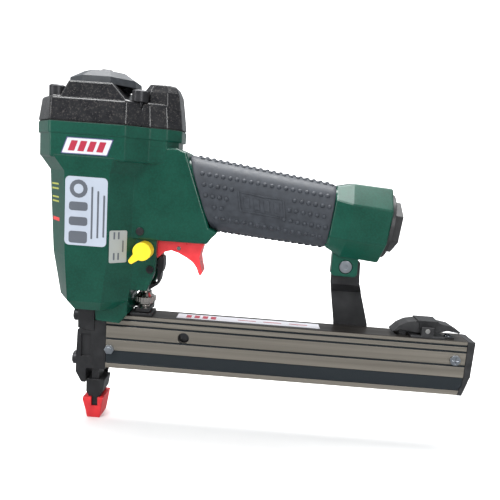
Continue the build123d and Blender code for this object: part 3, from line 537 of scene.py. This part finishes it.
def grip_frames():
    """Plain raised frame moulded on each side of the sleeve."""
    middle, half_long, half_high, lean, steps = 0.25, 14.25, 5.8, 1.5, 10
    centre = Vector((middle, 0.0))
    rim_width, root, crest = 1.1, -0.4, 0.6
    rings = [(0.0, root), (0.0, crest), (rim_width, crest), (rim_width, root)]
    for label, side in SIDES:
        high, low = middle + lean * side, middle - lean * side
        corners = [(high - half_long, half_high), (high + half_long, half_high),
                   (low + half_long, -half_high), (low - half_long, -half_high)]
        points, faces = [], []
        loop = []
        for k in range(4):
            a, b = Vector(corners[k]), Vector(corners[(k + 1) % 4])
            loop += [a.lerp(b, j / steps) for j in range(steps)]
        for inset, rise in rings:
            for spot in loop:
                place = spot - (spot - centre).normalized() * inset
                along, up = place.x * MM, place.y * MM
                turn = grip_turn_at(along, up)
                across = grip_section(along, turn)[0] + rise * MM
                points.append(handle_point(along, side * across, up))
        count = len(loop)
        for i in range(4):
            for j in range(count):
                a, b = i * count + j, i * count + (j + 1) % count
                c, d = ((i + 1) % 4) * count + (j + 1) % count, ((i + 1) % 4) * count + j
                faces.append((a, b, c, d))
        name = "grip_frame_" + label
        piece(name, mesh_from(name, points, faces), "tool", "grip_rubber", smooth=False)


def grip_bars():
    """Four plain raised bars inside each moulded frame."""
    half_long, half_high, pitch, first_bar = 1.7, 3.2, 6.2, -9.0
    for label, side in SIDES:
        points, faces = [], []
        lean = -0.25 * side
        for k in range(4):
            first = len(points)
            middle = first_bar + pitch * k
            for rise in (-0.4, 0.45):
                for s, t in ((-1, -1), (1, -1), (1, 1), (-1, 1)):
                    up = half_high * t * MM
                    along = (middle + half_long * s) * MM - lean * up
                    across = grip_section(along, grip_turn_at(along, up))[0] + rise * MM
                    points.append(handle_point(along, side * across, up))
            for loop in ((0, 1, 2, 3), (4, 5, 6, 7), (0, 1, 5, 4), (1, 2, 6, 5), (2, 3, 7, 6), (3, 0, 4, 7)):
                faces.append(tuple(first + j for j in loop))
        name = "grip_bars_" + label
        piece(name, mesh_from(name, points, faces), "tool", "grip_rubber", smooth=False)


skin = grip_sleeve()
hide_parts("grip_sleeve")
grip_bumps()
grip_frames()
grip_bars()


# ---- labels and marks -----------------------------------------------------------------------------
def surface_of(node):
    """Search tree over a CAD node's surface."""
    thing = frame["nodes"][node]
    graph = bpy.context.evaluated_depsgraph_get()
    return BVHTree.FromObject(thing, graph)


HOUSING = surface_of("housing")
MAGAZINE = surface_of("magazine")
FILM_STEP = 2.0 * MM
FILM_THICKNESS = 0.05 * MM
SEARCH_START = 0.1
TOWARD_FAR = Vector((0, 1, 0))
DOWNWARD = Vector((0, 0, -1))


def film_finish(name, colour):
    """Printed film: near even colour, a little grain."""
    lighter = tuple(min(1.0, c * 1.06 + 0.004) for c in colour)
    return Finish(name, colour, lighter, 0.35, coat=0.3, grain=500.0, bump=0.05, depth=0.02,
                  soften=0.1).done()


WHITE = film_finish("film_white", (0.56, 0.56, 0.60))
GREY = film_finish("film_grey", (0.36, 0.40, 0.47))
INK = film_finish("film_ink", (0.085, 0.095, 0.115))
RED = film_finish("film_red", (0.36, 0.018, 0.045))
NAVY = film_finish("film_navy", (0.06, 0.06, 0.16))
SILVER = film_finish("film_silver", (0.30, 0.32, 0.31))
TICK_YELLOW = film_finish("tick_yellow", (0.36, 0.38, 0.06))
TICK_RED = film_finish("tick_red", (0.70, 0.03, 0.03))


def on_surface(tree, spot, direction, lift):
    """Point where a line through spot meets the surface, lifted off it."""
    start = spot - direction * SEARCH_START
    hit, normal, _, _ = tree.ray_cast(start, direction)
    if normal.dot(direction) > 0:
        normal = -normal
    return hit + normal * lift


def decal(name, tree, outline, direction, lift, material, slot="green_paint"):
    """Thin film with a closed outline, cut into small faces and laid on a surface; lift in millimetres."""
    shape = bmesh.new()
    shape.faces.new([shape.verts.new(spot) for spot in outline])
    base = Vector((0, 0, 1)) if abs(direction.z) < 0.9 else Vector((1, 0, 0))
    across = direction.cross(base).normalized()
    for axis in (across, direction.cross(across).normalized()):
        reach = [vert.co.dot(axis) for vert in shape.verts]
        cuts = int((max(reach) - min(reach)) / FILM_STEP)
        for k in range(1, cuts + 1):
            place = axis * (min(reach) + k * FILM_STEP)
            bmesh.ops.bisect_plane(shape, geom=shape.verts[:] + shape.edges[:] + shape.faces[:],
                                   plane_co=place, plane_no=axis, dist=1e-7)
    for vert in shape.verts:
        vert.co = on_surface(tree, vert.co.copy(), direction, lift * MM)
    bmesh.ops.solidify(shape, geom=shape.faces[:], thickness=FILM_THICKNESS)
    bmesh.ops.recalc_face_normals(shape, faces=shape.faces)
    mesh = bpy.data.meshes.new(name)
    shape.to_mesh(mesh)
    shape.free()
    mesh.materials.append(material)
    return piece(name, mesh, "tool", slot, smooth=False)


def rounded_outline(centre, half_x, half_z, corner, lean=0.0):
    """Rounded rectangle in the XZ plane, in millimetres, leaning like a parallelogram if asked."""
    points = []
    for k, (sx, sz) in enumerate(((1, 1), (-1, 1), (-1, -1), (1, -1))):
        for j in range(5):
            angle = math.pi / 2 * (k + j / 4)
            x = sx * (half_x - corner) + corner * math.cos(angle)
            z = sz * (half_z - corner) + corner * math.sin(angle)
            x += lean * z
            points.append(Vector(((centre[0] + x) * MM, 0, (centre[1] + z) * MM)))
    return points


def side_labels():
    """Films on the near side of the barrel: a plate, a large panel and the selector's panel."""
    def film(name, lift, finish, *outline, lean=0.0):
        decal(name, HOUSING, rounded_outline(*outline, lean=lean), TOWARD_FAR, lift, finish)

    plate, slant, bar_pitch = (-2.0, 177.9), 0.36, 5.6
    film("plate_rim", 0.10, NAVY, plate, 13.8, 4.9, 0.4, lean=slant)
    film("plate_face", 0.16, WHITE, plate, 13.2, 4.4, 0.4, lean=slant)
    for k in range(4):
        film(f"plate_bar_{k}", 0.22, RED, (-10.4 + bar_pitch * k, 177.9), 1.9, 3.0, 0.3, lean=slant)
    film("panel_face", 0.12, GREY, (-2.0, 139.6), 12.7, 20.6, 2.6)
    for k, (up, half_high) in enumerate(((124.0, 3.6), (133.6, 2.6), (142.6, 2.6))):
        film(f"panel_mark_{k}", 0.18, INK, (-6.6, up), 5.6, half_high, 1.6)
    film("panel_disc", 0.18, INK, (-6.6, 153.0), 5.4, 5.4, 5.39)
    film("panel_eye", 0.24, GREY, (-6.6, 153.0), 2.9, 2.9, 2.89)
    for k in range(3):
        film(f"panel_line_{k}", 0.18, INK, (1.6 + 3.6 * k, 139.0 - 0.8 * k), 0.55, 15.6 - 1.5 * k, 0.3)
    film("selector_panel", 0.12, SILVER, (16.6, 119.2), 4.4, 10.0, 0.9)
    for k, up in enumerate((126.0, 113.2)):
        for j in range(2):
            film(f"selector_bar_{k}{j}", 0.18, INK, (14.6 + 2.2 * j, up), 0.4, 2.2, 0.2)
    film("selector_arrow", 0.18, INK, (19.0, 119.4), 0.35, 3.6, 0.2)


def depth_marks():
    """Painted ticks on the front chamfer of the barrel."""
    direction = Vector((0.6, 0.8, 0)).normalized()
    chamfer_start, chamfer_side, chamfer_slope = -26.6, -14.3, -1.14

    def tick(name, centre, half, up, half_up, material):
        corners = ((-half, -half_up), (half, -half_up), (half, half_up), (-half, half_up))
        outline = []
        for s, t in corners:
            along = centre + s
            across = chamfer_side + chamfer_slope * (along - chamfer_start)
            outline.append(Vector((along, across, up + t)) * MM)
        decal(name, HOUSING, outline, direction, 0.10, material)

    for k, up in enumerate((154.6, 151.8, 146.6, 144.0)):
        tick(f"tick_{k}", -25.2, 3.6, up, 0.5, TICK_YELLOW)
    tick("tick_red", -24.8, 3.8, 133.0, 1.1, TICK_RED)


def top_label():
    """Film along the top of the magazine."""
    def film(name, lift, finish, start, end, half):
        corners = ((start, -half), (end, -half), (end, half), (start, half))
        outline = [Vector((x, y, 0)) * MM for x, y in corners]
        decal(name, MAGAZINE, outline, DOWNWARD, lift, finish, "anodised_magazine")

    film("top_film", 0.10, WHITE, 52, 146, 5.2)
    for k in range(4):
        film(f"top_bar_{k}", 0.16, RED, 58 + 5.4 * k, 61.4 + 5.4 * k, 3.0)
    for k in range(3):
        film(f"top_line_{k}", 0.16, RED, 92 + 17 * k, 104 + 17 * k, 0.6)


side_labels()
depth_marks()
top_label()


# ---- stage, light and camera ----------------------------------------------------------------------
def plain(name, colour, rough):
    """Even stage material."""
    made = bpy.data.materials.new(name)
    made.use_nodes = True
    made.node_tree.nodes["Principled BSDF"].inputs["Base Color"].default_value = (*colour, 1)
    made.node_tree.nodes["Principled BSDF"].inputs["Roughness"].default_value = rough
    return made


def stage():
    """Pale floor under the nose tip that curves up into a seamless backdrop; glossy rays miss it."""
    half, front, back, bend, wall_top, steps = 5.0, -4.0, 1.4, 0.6, 1.7, 16
    profile = [(front, 0.0)]
    for k in range(steps + 1):
        angle = 0.5 * math.pi * k / steps
        profile.append((back + bend * math.sin(angle), bend - bend * math.cos(angle)))
    profile.append((back + bend, wall_top))
    points = [(side * half, y, z) for y, z in profile for side in (-1, 1)]
    faces = [(2 * k, 2 * k + 1, 2 * k + 3, 2 * k + 2) for k in range(len(profile) - 1)]
    mesh = bpy.data.meshes.new("floor")
    mesh.from_pydata(points, [], faces)
    for polygon in mesh.polygons:
        polygon.use_smooth = True
    mesh.materials.append(plain("floor_white", (0.86, 0.86, 0.86), 0.8))
    floor = bpy.data.objects.new("floor", mesh)
    bpy.context.scene.collection.objects.link(floor)
    floor.visible_glossy = False


def area_light(name, place, target, size, power, size_y=None):
    """Soft rectangular light aimed at a point."""
    data = bpy.data.lights.new(name, "AREA")
    data.shape = "RECTANGLE"
    data.size = size
    data.size_y = size_y or size
    data.energy = power
    lamp = bpy.data.objects.new(name, data)
    lamp.location = place
    lamp.rotation_euler = (Vector(target) - Vector(place)).to_track_quat("-Z", "Y").to_euler()
    bpy.context.scene.collection.objects.link(lamp)


def lights():
    """Soft key from the upper front left, fills, a wash on the backdrop and a dim world."""
    middle = (0.09, 0.0, 0.12)
    area_light("key", (-0.35, -0.75, 0.95), middle, 0.35, 8.0)
    area_light("window", (0.55, -0.85, 0.45), middle, 0.16, 3.0, size_y=0.34)
    area_light("strip", (-0.62, -0.42, 0.30), (0.12, 0.0, 0.14), 0.10, 1.5, size_y=0.5)
    area_light("top", (0.10, 0.15, 1.0), middle, 0.5, 5.0)
    area_light("backdrop", (0.0, 0.6, 1.6), (0.0, 1.9, 0.3), 1.6, 75.0)
    world = bpy.data.worlds.new("pale")
    world.use_nodes = True
    world.node_tree.nodes["Background"].inputs["Color"].default_value = (0.93, 0.97, 1.0, 1)
    world.node_tree.nodes["Background"].inputs["Strength"].default_value = 0.42
    bpy.context.scene.world = world


CAMERA_PLACE = Vector((0.10318, -0.334, 0.16932))
CAMERA_YAW, CAMERA_PITCH, CAMERA_ROLL = -1.099, 8.39, 4.142
CAMERA_LENS = 37.44


def camera():
    """Camera on the near side, a little above, slightly tilted."""
    yaw, pitch, roll = (math.radians(angle) for angle in (CAMERA_YAW, CAMERA_PITCH, CAMERA_ROLL))
    forward = Vector((math.sin(yaw) * math.cos(pitch), math.cos(yaw) * math.cos(pitch), -math.sin(pitch)))
    level = forward.cross(Vector((0, 0, 1))).normalized()
    upright = level.cross(forward)
    right = level * math.cos(roll) + upright * math.sin(roll)
    up = upright * math.cos(roll) - level * math.sin(roll)
    data = bpy.data.cameras.new("camera")
    data.sensor_width = 36.0
    data.lens = CAMERA_LENS
    data.clip_start = 0.01
    thing = bpy.data.objects.new("camera", data)
    turn = Matrix((right, up, -forward)).transposed().to_4x4()
    thing.matrix_world = Matrix.Translation(CAMERA_PLACE) @ turn
    bpy.context.scene.collection.objects.link(thing)
    bpy.context.scene.camera = thing


stage()
lights()
camera()
bpy.context.scene.view_settings.view_transform = "Standard"
